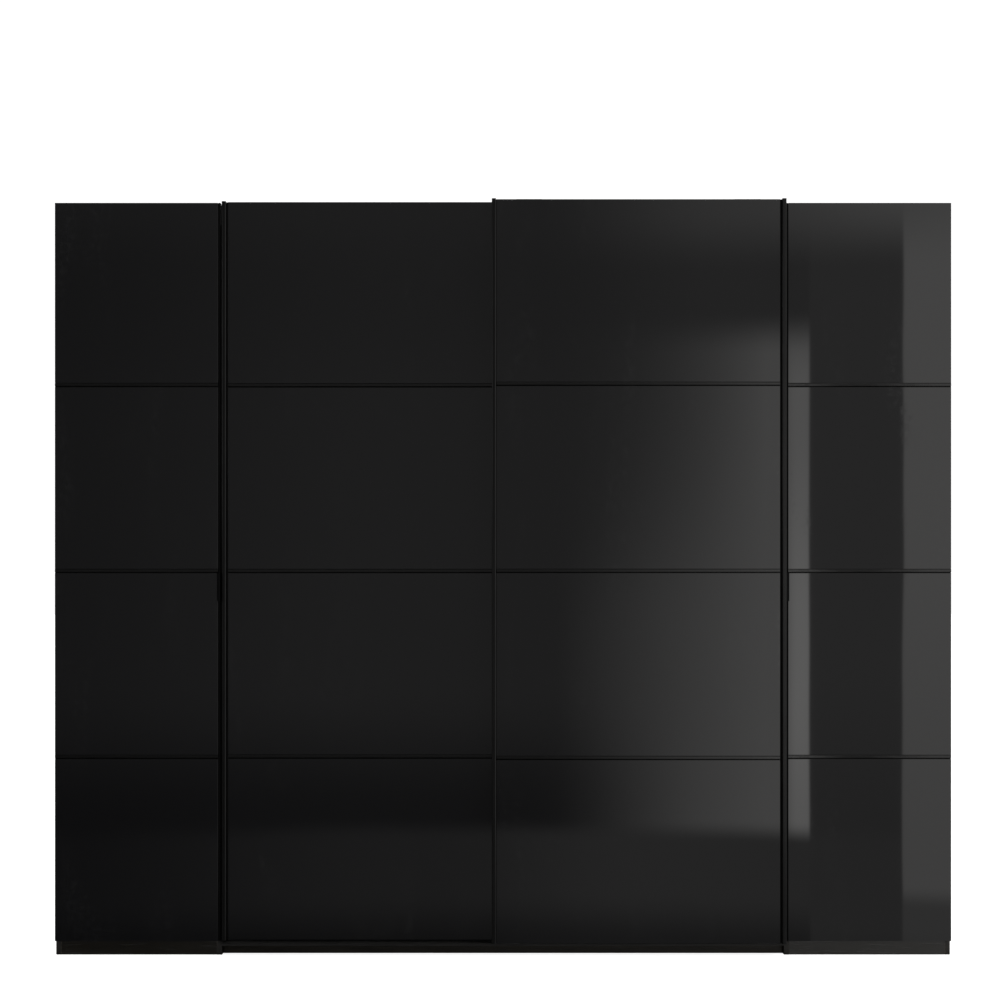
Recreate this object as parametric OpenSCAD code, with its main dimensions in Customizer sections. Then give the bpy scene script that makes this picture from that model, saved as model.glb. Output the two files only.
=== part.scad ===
/* [Overall] */
// Width across the outer side panels
overall_w = 2800; // [2700:10:2900]
// Depth from the front sliding door's edge strips to the wall
overall_d = 660; // [640:5:700]
// Height over the front sliding door's hangers
overall_h = 2360; // [2340:5:2380]
// Width of each hinged-door side cabinet, over both of its panels
side_w = 520; // [500:5:540]

/* [Cabinet] */
// Thickness of the cabinet boards
board_t = 16; // [16:1:18]
// Thickness of the back panels
back_t = 4; // [3:1:5]
// Height of the plinth boards
plinth_h = 58; // [56:1:64]
// How far the side cabinets' front edges stand in front of the rear sliding door's back
side_lead = 8; // [0:1:10]
// How far the middle cabinet stands behind the front edges of the side cabinets
centre_setback = 54; // [50:1:58]
// How far the middle plinth board stands behind the side plinths
plinth_setback = 22; // [16:1:28]
// Height of the hat shelf above the floor
hat_shelf_z = 1960; // [1900:10:2000]
// Drop of the clothes rail below the hat shelf
rail_drop = 70; // [60:5:90]

/* [Doors] */
// Thickness of the glass panes
glass_t = 4; // [3:1:5]
// Thickness of the sliding doors' boards
slide_board_t = 18; // [17:1:19]
// Distance between the planes of the two sliding doors
door_step = 38; // [38:1:41]
// Overlap of the two closed sliding doors
door_overlap = 70; // [50:5:90]
// Width of the upright edge strips
strip_w = 13; // [11:1:15]
// How far the edge strips stand in front of the glass
strip_proud = 8; // [6:1:9]
// Width of the shadow groove between glass and outer strips
groove_w = 6; // [5:1:9]
// Width of the edge profile on the opening side of the hinged doors
edge_w = 6; // [5:1:9]
// Length of the hinged doors' handles
handle_l = 87; // [80:1:120]
// How far the handles stand in front of the glass
handle_proud = 16; // [12:1:20]
// Distance between the horizontal trims of a door
trim_pitch = 580; // [560:1:590]
// Height of a horizontal trim
trim_h = 8; // [6:1:10]
// Height of the shadow gap below a horizontal trim
trim_gap = 4; // [3:1:5]

/* [Hardware] */
// Rolling radius of the sliding doors' wheels
wheel_r = 13; // [12:0.5:14]
// Radius of the hinge cups
cup_r = 17.5; // [15:0.5:18]
// Radius of the clothes rails
rail_r = 12.5; // [10:0.5:15]

/* [Hidden] */
$fn = 48;

// Clearances
fit = 0.05;             // round pins and axles in their bores, on radius
seat = 0.02;            // screw heads on their seats
slip = 0.4;             // flat sliding faces
door_gap = 2;           // hinged door to cabinet edge
edge_gap = 1.5;         // hinged door to the line of its cabinet's sides
side_play = 2;          // sliding doors to the partitions

// Planes across the depth, front to back
front_y = -overall_d / 2;
wall_y = overall_d / 2;
cabinet_back_y = wall_y - back_t;
front_glass_y = front_y + strip_proud;
front_board_y = front_glass_y + glass_t;
front_back_y = front_board_y + slide_board_t;
rear_back_y = front_back_y + door_step;
side_front_y = rear_back_y - side_lead;
centre_front_y = side_front_y + centre_setback;
hinged_back_y = side_front_y - door_gap;
hinged_board_y = hinged_back_y - board_t;
hinged_glass_y = hinged_board_y - glass_t;

// Lines across the width
half_w = overall_w / 2;
side_inner_x = half_w - board_t;
part_inner_x = half_w - side_w;
part_outer_x = part_inner_x + board_t;
hinged_in_x = part_inner_x + edge_gap;
hinged_out_x = half_w - edge_gap;
centre_half = part_inner_x - side_play;
slide_w = centre_half + door_overlap / 2;
slide_mid_x = centre_half - slide_w / 2;
travel = 2 * slide_mid_x;

edge_joint = 2;         // hinged door's edge profile to its glass
handle_w = 11;

// Heights
door_foot_z = 46;
back_foot_z = 20;
cabinet_top_z = overall_h - 13;
centre_top_z = overall_h - 72;
base_top_z = plinth_h + board_t;
glass_foot_z = door_foot_z + 1;
hanger_t = 3;
hanger_step = 12;
front_shelf_z = overall_h - hanger_t;
rear_shelf_z = front_shelf_z - hanger_step;
slide_top_z = front_shelf_z - 1.5;
glass_top_z = slide_top_z - 1.2;
hinged_top_z = cabinet_top_z + 3;
mid_trim_z = 1197;
trim_z = [for (k = [-1:1]) mid_trim_z + k * trim_pitch];

// Shelves
shelf_z = [400, 780, 1090, 1400, 1860];
shelf_back_gap = 6;
shelf_setback = 20;
side_play_shelf = 1;
pin_r = 2.5;
pin_in = 8;
pin_out = 8;
pin_y = [side_front_y + 70, cabinet_back_y - 60];
hat_front_y = centre_front_y + shelf_setback;
hat_pin_y = [centre_front_y + 70, cabinet_back_y - 60];
hat_pin_in = 7;

// Clothes rails
rail_z = hat_shelf_z - rail_drop;
rail_y = 60;
bracket_t = 4;
bracket_r = 25;
bracket_screw = 20;

// Panel connectors
cam_r = 7.5;
cam_h = 12;
cam_in = 34;
cam_bolt_r = 3;
cam_bolt_in = 10;
side_cam_y = [side_front_y + 60, cabinet_back_y - 60];
centre_cam_y = [centre_front_y + 60, cabinet_back_y - 110];

// Tracks, hangers and wheels
axle_z = centre_top_z + 30;
rib_t = 3;
rib_top_z = axle_z - wheel_r;
track_t = 3;
track_y0 = centre_front_y + 2;
track_y1 = track_y0 + 100;
rear_rib_y = track_y0 + 29;
front_rib_y = rear_rib_y + 50;
wheel_w = 10;
wheel_rim_r = wheel_r + 4;
axle_r = 4;
hub_r = 6.5;
hanger_w = 80;
hanger_low_z = centre_top_z - 48;
hanger_x = 340;
hanger_screw_x = 25;
hanger_screw_z = [hanger_low_z + 15, hanger_low_z + 45];
drop_w = 50;
guide_plate_z = 38;
guide_plate_t = 6;
guide_top_z = guide_plate_z + guide_plate_t;
guide_groove_w = 5;
guide_groove_d = 4;
guide_tongue_t = 4;
rear_guide_y = rear_back_y - slide_board_t / 2;
front_guide_y = front_back_y - slide_board_t / 2;
door_slot_w = 8;
door_slot_h = 14;
guide_x = 400;
guide_l = 60;
centre_plinth_y = side_front_y + plinth_setback;

// Cup hinges
hinge_z = [for (k = [0:4]) 150 + 512 * k];
pin_x = side_inner_x - 4;
hinge_pin_y = hinged_back_y + 4;
hinge_pin_r = 1.5;
cup_depth = 12;
cup_wall = 1.3;
cup_x = pin_x - 4;
cup_screw_in = 9.5;
cup_screw_z = 24;
ear_z = 5.5;
ear_t = 2;
ear_r = 3.5;
link_half_t = 1.8;
link_half_h = 4.5;
link_eye_r = 3.2;
link_rear_y = hinge_pin_y + 70;
arm_y0 = hinge_pin_y + 20;
arm_y1 = arm_y0 + 54;
arm_wall = 1.6;
plate_y0 = side_front_y + 29;
plate_y1 = plate_y0 + 16;
plate_half_h = 25;
plate_screw_y = side_front_y + 37;
plate_screw_z = 18;

// Fasteners
screw_r = 2;
screw_head_r = 3.6;
screw_head_h = 1.4;
track_screw_x = [-820, -410, 0, 410, 820];
bracket_x = 700;
bracket_w = 50;
bracket_leg = 40;
bracket_thick = 2;
bracket_hole_r = 3;
bracket_screw_x = 15;
bracket_screw_in = 28;
bracket_hole_z = centre_top_z + 24;

// Boxes and round bars between two planes
module block(x0, x1, y0, y1, z0, z1) {
    translate([x0, y0, z0]) cube([x1 - x0, y1 - y0, z1 - z0]);
}

module bar_x(x0, x1, y, z, r) {
    translate([x0, y, z]) rotate([0, 90, 0]) cylinder(h = x1 - x0, r = r);
}

module bar_y(y0, y1, x, z, r) {
    translate([x, y0, z]) rotate([-90, 0, 0]) cylinder(h = y1 - y0, r = r);
}

module bar_z(z0, z1, x, y, r) {
    translate([x, y, z0]) cylinder(h = z1 - z0, r = r);
}

module on_left() {
    mirror([1, 0, 0]) children();
}

module both_sides() {
    children();
    mirror([1, 0, 0]) children();
}

// An outline in the Y-Z plane pushed along X
module profile_x(x0, x1) {
    translate([x0, 0, 0]) rotate([90, 0, 90]) linear_extrude(x1 - x0) children();
}

// An outline in the X-Y plane pushed upwards
module profile_z(z0, z1) {
    translate([0, 0, z0]) linear_extrude(z1 - z0) children();
}

// Shelf pins on the right-hand side, as solids or as their holes
module side_pins(r, extra) {
    for (z = shelf_z) {
        for (y = pin_y) {
            bar_x(side_inner_x - pin_out, side_inner_x + pin_in + extra, y, z - pin_r - fit, r);
            bar_x(part_outer_x - pin_in - extra, part_outer_x + pin_out, y, z - pin_r - fit, r);
        }
    }
}

// Hat shelf pins of the right-hand half, as solids or as their holes
module hat_pins(r, extra) {
    for (y = hat_pin_y) {
        bar_x(part_inner_x - pin_out, part_inner_x + hat_pin_in + extra, y, hat_shelf_z - pin_r - fit, r);
        bar_x(board_t / 2 - hat_pin_in - extra, board_t / 2 + pin_out, y, hat_shelf_z - pin_r - fit, r);
    }
}

// Cross for the screwdriver in a cam's visible face
module driver_cross(x, y, z) {
    for (a = [0, 90]) {
        translate([x, y, z]) rotate([0, 0, a + 20]) cube([9, 1.6, 4], center = true);
    }
}

// One cam lock: a disc in the flat panel and a bolt into the upright at x, with the panel on side dir
module cam_lock(x, dir, y, panel_z, from_top, r_extra, h_extra) {
    disc_z0 = from_top ? panel_z + board_t - cam_h - h_extra : panel_z;
    disc_z1 = from_top ? panel_z + board_t : panel_z + cam_h + h_extra;
    bolt_end = x + dir * (cam_in - cam_r);
    bolt_start = x - dir * (cam_bolt_in + h_extra);
    difference() {
        bar_z(disc_z0, disc_z1, x + dir * cam_in, y, cam_r + r_extra);
        if (r_extra == 0) {
            driver_cross(x + dir * cam_in, y, from_top ? disc_z1 : disc_z0);
        }
    }
    bar_x(min(bolt_start, bolt_end), max(bolt_start, bolt_end), y, panel_z + board_t / 2,
        cam_bolt_r + r_extra);
}

// All cam locks of one right-hand side cabinet
module side_cams(r_extra, h_extra) {
    for (y = side_cam_y) {
        cam_lock(side_inner_x, -1, y, cabinet_top_z - board_t, true, r_extra, h_extra);
        cam_lock(part_outer_x, 1, y, cabinet_top_z - board_t, true, r_extra, h_extra);
        cam_lock(side_inner_x, -1, y, plinth_h, false, r_extra, h_extra);
        cam_lock(part_outer_x, 1, y, plinth_h, false, r_extra, h_extra);
    }
}

// The cam locks between the middle cabinet and the right-hand partition
module centre_cams(r_extra, h_extra) {
    for (y = centre_cam_y) {
        cam_lock(part_inner_x, -1, y, centre_top_z - board_t, false, r_extra, h_extra);
        cam_lock(part_inner_x, -1, y, plinth_h, false, r_extra, h_extra);
    }
}

// Screw with a flat round head, its head's underside at the origin and its tip along -Z
module screw(length) {
    cylinder(h = screw_head_h, r = screw_head_r);
    translate([0, 0, -length]) cylinder(h = length + 0.01, r = screw_r - fit);
}

module screw_hole(length) {
    translate([0, 0, -length - 1]) cylinder(h = length + 1, r = screw_r);
}

// Places for the fasteners, each with its own -Z into the board
module at_hinge_screws() {
    for (z = hinge_z) {
        for (s = [-1, 1]) {
            translate([side_inner_x - 2, plate_screw_y, z + s * plate_screw_z]) {
                rotate([0, -90, 0]) children();
            }
        }
    }
}

module at_top_track_screws() {
    for (x = track_screw_x) {
        translate([x, (rear_rib_y + front_rib_y) / 2, centre_top_z + track_t]) children();
    }
}

module at_bottom_track_screws() {
    for (x = track_screw_x) {
        translate([x, centre_plinth_y + board_t / 2, guide_top_z]) children();
    }
}

module at_bracket_screws() {
    for (s = [-1, 1]) {
        for (t = [-1, 1]) {
            translate([s * bracket_x + t * bracket_screw_x, wall_y - bracket_screw_in,
                centre_top_z + bracket_thick]) children();
        }
    }
}

module at_rail_screws() {
    for (s = [-1, 1]) {
        translate([part_inner_x - bracket_t, rail_y, rail_z + s * bracket_screw]) {
            rotate([0, -90, 0]) children();
        }
        translate([board_t / 2 + bracket_t, rail_y, rail_z + s * bracket_screw]) {
            rotate([0, 90, 0]) children();
        }
    }
}

// ---- Cabinet boards ----

module side_panel_right() {
    color("#2b2622") difference() {
        block(side_inner_x, half_w, side_front_y, cabinet_back_y, 0, cabinet_top_z);
        side_pins(pin_r + fit, 1);
        side_cams(0.1, 1);
        at_hinge_screws() screw_hole(12);
    }
}

module partition_right() {
    color("#2b2622") difference() {
        block(part_inner_x, part_outer_x, side_front_y, cabinet_back_y, 0, cabinet_top_z);
        side_pins(pin_r + fit, 0.5);
        hat_pins(pin_r + fit, 0.5);
        side_cams(0.1, 0.5);
        centre_cams(0.1, 0.5);
        at_rail_screws() screw_hole(14);
    }
}

module centre_partition() {
    color("#b9aa94") difference() {
        block(-board_t / 2, board_t / 2, centre_front_y, cabinet_back_y, base_top_z, centre_top_z - board_t);
        both_sides() {
            hat_pins(pin_r + fit, 0.5);
        }
        for (s = [-1, 1]) {
            bar_x(-board_t, board_t, rail_y, rail_z + s * bracket_screw, screw_r);
        }
    }
}

module side_top_panels() {
    color("#2b2622") both_sides() {
        difference() {
            block(part_outer_x, side_inner_x, side_front_y, cabinet_back_y,
                cabinet_top_z - board_t, cabinet_top_z);
            side_cams(0.1, 0.5);
        }
    }
}

module centre_top_panel() {
    color("#2b2622") difference() {
        block(-part_inner_x, part_inner_x, centre_front_y, cabinet_back_y,
            centre_top_z - board_t, centre_top_z);
        both_sides() {
            centre_cams(0.1, 0.5);
        }
        at_top_track_screws() screw_hole(13);
        at_bracket_screws() screw_hole(12);
    }
}

module side_base_panels() {
    color("#b9aa94") both_sides() {
        difference() {
            block(part_outer_x, side_inner_x, side_front_y, cabinet_back_y, plinth_h, base_top_z);
            side_cams(0.1, 0.5);
        }
    }
}

module centre_base_panel() {
    color("#b9aa94") difference() {
        block(-part_inner_x, part_inner_x, centre_front_y, cabinet_back_y, plinth_h, base_top_z);
        both_sides() {
            centre_cams(0.1, 0.5);
        }
    }
}

module back_panels() {
    color("#c8bba6") both_sides() {
        block(part_inner_x + board_t / 2, half_w - 1, cabinet_back_y, wall_y, back_foot_z, cabinet_top_z);
        block(0.5, part_inner_x + board_t / 2 - 1, cabinet_back_y, wall_y, back_foot_z, centre_top_z);
    }
}

// Thin angle on the right-hand partition's edge that closes the space behind the front door's end
module closing_fin() {
    color("#161617") profile_z(door_foot_z + 2, cabinet_top_z) {
        translate([part_inner_x + 0.2, front_back_y + 4]) square([1, side_front_y - front_back_y - 4]);
        translate([part_inner_x + 0.2, side_front_y - 1]) square([board_t - 4, 1]);
    }
}

module side_plinths() {
    color("#37312c") both_sides() {
        block(part_outer_x, side_inner_x, side_front_y, side_front_y + board_t, 0, plinth_h);
    }
}

// Up to the underside of the bottom track
module centre_plinth() {
    color("#37312c") difference() {
        block(-part_inner_x, part_inner_x, centre_plinth_y, centre_plinth_y + board_t, 0, guide_plate_z);
        at_bottom_track_screws() screw_hole(18);
    }
}

// Boards under the base panels that don't show: along the back, and under the middle cabinet's front
module plinth_bearers() {
    rear_y = cabinet_back_y - 2 * board_t;
    color("#37312c") {
        block(-part_inner_x, part_inner_x, centre_front_y, centre_front_y + board_t, 0, plinth_h);
        both_sides() {
            block(part_outer_x, side_inner_x, rear_y, rear_y + board_t, 0, plinth_h);
        }
        block(-part_inner_x, part_inner_x, rear_y, rear_y + board_t, 0, plinth_h);
    }
}

module shelves_right() {
    color("#b9aa94") for (z = shelf_z) {
        block(part_outer_x + side_play_shelf, side_inner_x - side_play_shelf,
            side_front_y + shelf_setback, cabinet_back_y - shelf_back_gap, z, z + board_t);
    }
}

module hat_shelves() {
    color("#b9aa94") both_sides() {
        block(board_t / 2 + side_play_shelf, part_inner_x - side_play_shelf,
            hat_front_y, cabinet_back_y - shelf_back_gap, hat_shelf_z, hat_shelf_z + board_t);
    }
}

// ---- Cabinet hardware ----

module clothes_rails() {
    color("#c9ccd0") both_sides() {
        difference() {
            bar_x(board_t / 2 + 1, part_inner_x - 1, rail_y, rail_z, rail_r);
            bar_x(board_t / 2, part_inner_x, rail_y, rail_z, rail_r - 1.2);
        }
    }
}

// A round flange with a ring that holds the end of a rail, on a board whose face is at the origin
module rail_bracket() {
    difference() {
        union() {
            rotate([0, 90, 0]) cylinder(h = bracket_t, r = bracket_r);
            rotate([0, 90, 0]) cylinder(h = 16, r = rail_r + 3);
        }
        translate([-1, 0, 0]) rotate([0, 90, 0]) cylinder(h = 20, r = rail_r + 0.1);
        for (s = [-1, 1]) {
            translate([-1, 0, s * bracket_screw]) rotate([0, 90, 0]) cylinder(h = 20, r = screw_r + fit);
        }
    }
}

module rail_brackets() {
    color("#9a9da1") both_sides() {
        translate([board_t / 2, rail_y, rail_z]) rail_bracket();
        translate([part_inner_x, rail_y, rail_z]) mirror([1, 0, 0]) rail_bracket();
    }
}

module shelf_pins() {
    color("#c9ccd0") both_sides() {
        side_pins(pin_r, 0);
        hat_pins(pin_r, 0);
    }
}

module cam_locks() {
    color("#8c8f93") both_sides() {
        side_cams(0, 0);
        centre_cams(0, 0);
    }
}

// A pad on a stem that turns in a socket under the base panel
module levelling_foot(x, y) {
    bar_z(0, 6, x, y, 20);
    bar_z(5.9, plinth_h - 6, x, y, 5);
    difference() {
        bar_z(plinth_h - 24, plinth_h, x, y, 12);
        bar_z(plinth_h - 25, plinth_h - 4, x, y, 5 + fit);
    }
}

module levelling_feet() {
    color("#26262a") both_sides() {
        for (y = [side_front_y + 60, cabinet_back_y - 80]) {
            levelling_foot(part_outer_x + 60, y);
            levelling_foot(side_inner_x - 60, y);
        }
        for (y = [centre_front_y + 60, cabinet_back_y - 80]) {
            levelling_foot(60, y);
            levelling_foot(part_inner_x - 60, y);
        }
    }
}

// Angle bracket on the middle cabinet's top, its upright leg against the wall
module wall_brackets() {
    color("#c9ccd0") difference() {
        both_sides() {
            block(bracket_x - bracket_w / 2, bracket_x + bracket_w / 2, wall_y - bracket_leg, wall_y,
                centre_top_z, centre_top_z + bracket_thick);
            block(bracket_x - bracket_w / 2, bracket_x + bracket_w / 2, wall_y - bracket_thick, wall_y,
                centre_top_z, centre_top_z + bracket_leg);
        }
        for (s = [-1, 1]) {
            bar_y(wall_y - 10, wall_y + 1, s * bracket_x, bracket_hole_z, bracket_hole_r);
        }
        at_bracket_screws() screw_hole(4);
    }
}

module screws() {
    color("#d2d4d8") {
        both_sides() {
            at_hinge_screws() screw(11);
            at_rail_screws() screw(10.5);
        }
        at_top_track_screws() screw(12);
        at_bottom_track_screws() screw(17);
        at_bracket_screws() screw(11);
    }
}

// ---- Tracks ----

// Upright rib with a round top, from z0 up to z1
module rib(y, z0, z1) {
    translate([y - rib_t / 2, z0]) square([rib_t, z1 - rib_t / 2 - z0]);
    translate([y, z1 - rib_t / 2]) circle(rib_t / 2);
}

module top_track() {
    color("#3a3a3d") difference() {
        profile_x(-centre_half, centre_half) {
            translate([track_y0, centre_top_z]) square([track_y1 - track_y0, track_t]);
            translate([track_y0, centre_top_z]) square([2, 9]);
            translate([track_y1 - 2, centre_top_z]) square([2, 9]);
            rib(rear_rib_y, centre_top_z, rib_top_z);
            rib(front_rib_y, centre_top_z, rib_top_z);
        }
        at_top_track_screws() translate([0, 0, -10]) cylinder(h = 20, r = screw_r);
    }
}

// Buffers that stop the wheels at both ends of each rib
module track_stops() {
    color("#1c1c1e") both_sides() {
        for (y = [rear_rib_y, front_rib_y]) {
            difference() {
                block(slide_mid_x + hanger_x + wheel_rim_r + 2, slide_mid_x + hanger_x + wheel_rim_r + 22,
                    y - 7, y + 7, centre_top_z + track_t, rib_top_z + 7);
                block(slide_mid_x, half_w, y - rib_t / 2 - 0.1, y + rib_t / 2 + 0.1,
                    centre_top_z, rib_top_z + 0.2);
            }
        }
    }
}

// Flat bar on the middle plinth board with one groove under each sliding door
module bottom_track() {
    color("#1f1f21") difference() {
        block(-centre_half, centre_half, front_guide_y - 5, centre_plinth_y + board_t,
            guide_plate_z, guide_top_z);
        for (y = [rear_guide_y, front_guide_y]) {
            block(-half_w, half_w, y - guide_groove_w / 2, y + guide_groove_w / 2,
                guide_top_z - guide_groove_d, guide_top_z + 1);
        }
        at_bottom_track_screws() screw_hole(guide_plate_t + 1);
    }
}

// ---- Cup hinges, drawn for the right-hand door ----

// Sleeve on a mounting plate on the side panel, in which the link slides
module hinge_arm(z) {
    difference() {
        union() {
            block(side_inner_x - 2, side_inner_x, plate_y0, plate_y1, z - plate_half_h, z + plate_half_h);
            block(pin_x - link_half_t - slip - arm_wall, side_inner_x, arm_y0, arm_y1,
                z - link_half_h - slip - arm_wall, z + link_half_h + slip + arm_wall);
        }
        block(pin_x - link_half_t - slip, pin_x + link_half_t + slip, arm_y0 - 1, arm_y1 + 1,
            z - link_half_h - slip, z + link_half_h + slip);
        for (s = [-1, 1]) {
            bar_x(side_inner_x - 6, side_inner_x + 1, plate_screw_y, z + s * plate_screw_z, screw_r);
        }
    }
}

module hinge_arms() {
    color("#c9ccd0") both_sides() {
        for (z = hinge_z) {
            hinge_arm(z);
        }
    }
}

// Flat link with an eye for the hinge pin
module hinge_link(z) {
    difference() {
        union() {
            bar_z(z - link_half_h, z + link_half_h, pin_x, hinge_pin_y, link_eye_r);
            block(pin_x - link_half_t, pin_x + link_half_t, hinge_pin_y, link_rear_y,
                z - link_half_h, z + link_half_h);
        }
        bar_z(z - 10, z + 10, pin_x, hinge_pin_y, hinge_pin_r + fit);
    }
}

module right_hinge_links() {
    color("#b4b7bb") for (z = hinge_z) {
        hinge_link(z);
    }
}

// Cup pressed into the door, its two ears and the pin that they hold
module hinge_cup(z) {
    difference() {
        union() {
            difference() {
                bar_y(hinged_back_y - cup_depth, hinged_back_y, cup_x, z, cup_r);
                bar_y(hinged_back_y - cup_depth + 1, hinged_back_y + 1, cup_x, z, cup_r - cup_wall);
            }
            difference() {
                block(cup_x - 16, cup_x - 3, hinged_back_y, hinged_back_y + 1, z - 31, z + 31);
                bar_y(hinged_back_y - 1, hinged_back_y + 2, cup_x, z, cup_r - cup_wall);
            }
            for (s = [-1, 1]) {
                translate([0, 0, z + s * (ear_z + ear_t / 2) - ear_t / 2]) {
                    bar_z(0, ear_t, pin_x, hinge_pin_y, ear_r);
                    block(pin_x - ear_r, pin_x + ear_r, hinged_back_y - cup_depth + 0.5, hinge_pin_y,
                        0, ear_t);
                }
            }
        }
        bar_z(z - 12, z + 12, pin_x, hinge_pin_y, hinge_pin_r + 0.02);
        for (s = [-1, 1]) {
            bar_y(hinged_back_y - 1, hinged_back_y + 2, cup_x - cup_screw_in, z + s * cup_screw_z,
                screw_r + fit);
        }
    }
    bar_z(z - ear_z - ear_t - 0.5, z + ear_z + ear_t + 0.5, pin_x, hinge_pin_y, hinge_pin_r);
    for (s = [-1, 1]) {
        translate([cup_x - cup_screw_in, hinged_back_y + 1 + seat, z + s * cup_screw_z]) {
            rotate([-90, 0, 0]) screw(9);
        }
    }
}

module right_hinge_cups() {
    color("#c9ccd0") for (z = hinge_z) {
        hinge_cup(z);
    }
}

// ---- Hinged doors, drawn for the right-hand side ----

module right_door_panel() {
    color("#201d1b") difference() {
        block(hinged_in_x + edge_w, hinged_out_x, hinged_board_y, hinged_back_y, glass_foot_z, hinged_top_z);
        for (z = hinge_z) {
            bar_y(hinged_back_y - cup_depth - 0.1, hinged_back_y + 1, cup_x, z, cup_r + 0.1);
            for (s = [-1, 1]) {
                bar_y(hinged_back_y - 10, hinged_back_y + 1, cup_x - cup_screw_in, z + s * cup_screw_z,
                    screw_r);
            }
        }
    }
}

// Four panes, one above the other, with room for the trims between them
module panes(x0, x1, y, z0, z1) {
    edges_low = concat([z0], [for (z = trim_z) z + trim_gap / 2 + trim_h + 1]);
    edges_high = concat([for (z = trim_z) z - trim_gap / 2], [z1]);
    for (k = [0:3]) {
        block(x0, x1, y, y + glass_t, edges_low[k], edges_high[k]);
    }
}

// Three horizontal trims, each on a foot that fills the gap behind it
module trims(x0, x1, y) {
    for (z = trim_z) {
        profile_x(x0, x1) {
            translate([y + glass_t - 1.5, z - trim_gap / 2 + 0.5]) square([1.5, trim_gap + trim_h]);
            translate([y - 0.6, z + trim_gap / 2]) square([glass_t + 0.6, trim_h - 1.2]);
            translate([y, z + trim_gap / 2]) square([glass_t, trim_h]);
        }
    }
}

module right_door_glass() {
    color("#101012") {
        panes(hinged_in_x + edge_w + edge_joint, hinged_out_x - 0.5, hinged_glass_y,
            glass_foot_z, hinged_top_z);
    }
}

module right_door_trims() {
    color("#0c0c0d") trims(hinged_in_x + edge_w + edge_joint, hinged_out_x - 0.5, hinged_glass_y);
}

// Profile over the opening edge, its front corners rounded, with a narrow joint beside the glass
module right_door_edge() {
    corner_r = 1.5;
    color("#161617") profile_z(glass_foot_z, hinged_top_z) {
        translate([hinged_in_x, hinged_glass_y + corner_r]) {
            square([edge_w, hinged_back_y - hinged_glass_y - corner_r]);
        }
        translate([hinged_in_x + corner_r, hinged_glass_y]) square([edge_w - 2 * corner_r, corner_r + 1]);
        translate([hinged_in_x + corner_r, hinged_glass_y + corner_r]) circle(corner_r);
        translate([hinged_in_x + edge_w - corner_r, hinged_glass_y + corner_r]) circle(corner_r);
    }
}

// Angle handle under the middle trim: a plate on the glass and a lip at the opening edge
module right_door_handle() {
    plate_t = 1.8;
    lip_t = 3;
    handle_top_z = mid_trim_z - trim_gap / 2;
    color("#0e0e0f") profile_z(handle_top_z - handle_l, handle_top_z) {
        translate([hinged_in_x, hinged_glass_y - plate_t]) square([handle_w, plate_t]);
        translate([hinged_in_x, hinged_glass_y - handle_proud + lip_t / 2]) {
            square([lip_t, handle_proud - lip_t / 2]);
        }
        translate([hinged_in_x + lip_t / 2, hinged_glass_y - handle_proud + lip_t / 2]) circle(lip_t / 2);
    }
}

// ---- Sliding doors, drawn at x = 0; outer is the side of the strip with the shadow groove ----

module slide_panel(back_y, top_z) {
    difference() {
        block(-slide_w / 2 + strip_w, slide_w / 2 - strip_w, back_y - slide_board_t, back_y,
            glass_foot_z, top_z);
        block(-slide_w, slide_w, back_y - slide_board_t / 2 - door_slot_w / 2,
            back_y - slide_board_t / 2 + door_slot_w / 2, glass_foot_z - 1, glass_foot_z + door_slot_h);
        for (s = [-1, 1]) {
            for (t = [-1, 1]) {
                for (z = hanger_screw_z) {
                    bar_y(back_y - 12, back_y + 1, s * hanger_x + t * hanger_screw_x, z, screw_r);
                }
            }
        }
    }
}

function glass_left(outer) = -slide_w / 2 + strip_w + (outer < 0 ? groove_w : 1);
function glass_right(outer) = slide_w / 2 - strip_w - (outer > 0 ? groove_w : 1);

// Upright strip over a door edge, its front corners rounded
module strip(x, y0, y1, z1, slot_y) {
    corner_r = 2.5;
    difference() {
        profile_z(door_foot_z, z1) {
            translate([x, y0 + corner_r]) square([strip_w, y1 - y0 - corner_r]);
            translate([x + corner_r, y0]) square([strip_w - 2 * corner_r, corner_r + 1]);
            translate([x + corner_r, y0 + corner_r]) circle(corner_r);
            translate([x + strip_w - corner_r, y0 + corner_r]) circle(corner_r);
        }
        block(x - 1, x + strip_w + 1, slot_y - door_slot_w / 2, slot_y + door_slot_w / 2,
            door_foot_z - 1, glass_foot_z + door_slot_h);
    }
}

module strips(face_y, back_y, top_z) {
    strip(-slide_w / 2, face_y, back_y, top_z, back_y - slide_board_t / 2);
    strip(slide_w / 2 - strip_w, face_y, back_y, top_z, back_y - slide_board_t / 2);
}

// Steel hanger: a plate on the door's back, a shelf over to the track and a drop with the axle
module hanger(x, back_y, shelf_z0, rib_y) {
    drop_y = rib_y - wheel_w / 2 - 6;
    difference() {
        block(x - hanger_w / 2, x + hanger_w / 2, back_y, back_y + hanger_t,
            hanger_low_z, shelf_z0 + hanger_t);
        for (t = [-1, 1]) {
            for (z = hanger_screw_z) {
                bar_y(back_y - 1, back_y + hanger_t + 1, x + t * hanger_screw_x, z, screw_r + fit);
            }
        }
    }
    block(x - drop_w / 2, x + drop_w / 2, back_y, drop_y + hanger_t, shelf_z0, shelf_z0 + hanger_t);
    block(x - drop_w / 2, x + drop_w / 2, drop_y, drop_y + hanger_t, axle_z - 15, shelf_z0 + hanger_t);
    bar_y(drop_y + hanger_t - 0.1, rib_y + wheel_w / 2 + 1.3, x, axle_z, axle_r);
    bar_y(drop_y + hanger_t - 0.1, rib_y - wheel_w / 2 - 0.3, x, axle_z, hub_r);
    bar_y(rib_y + wheel_w / 2 + 0.3, rib_y + wheel_w / 2 + 1.3, x, axle_z, hub_r);
}

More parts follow.
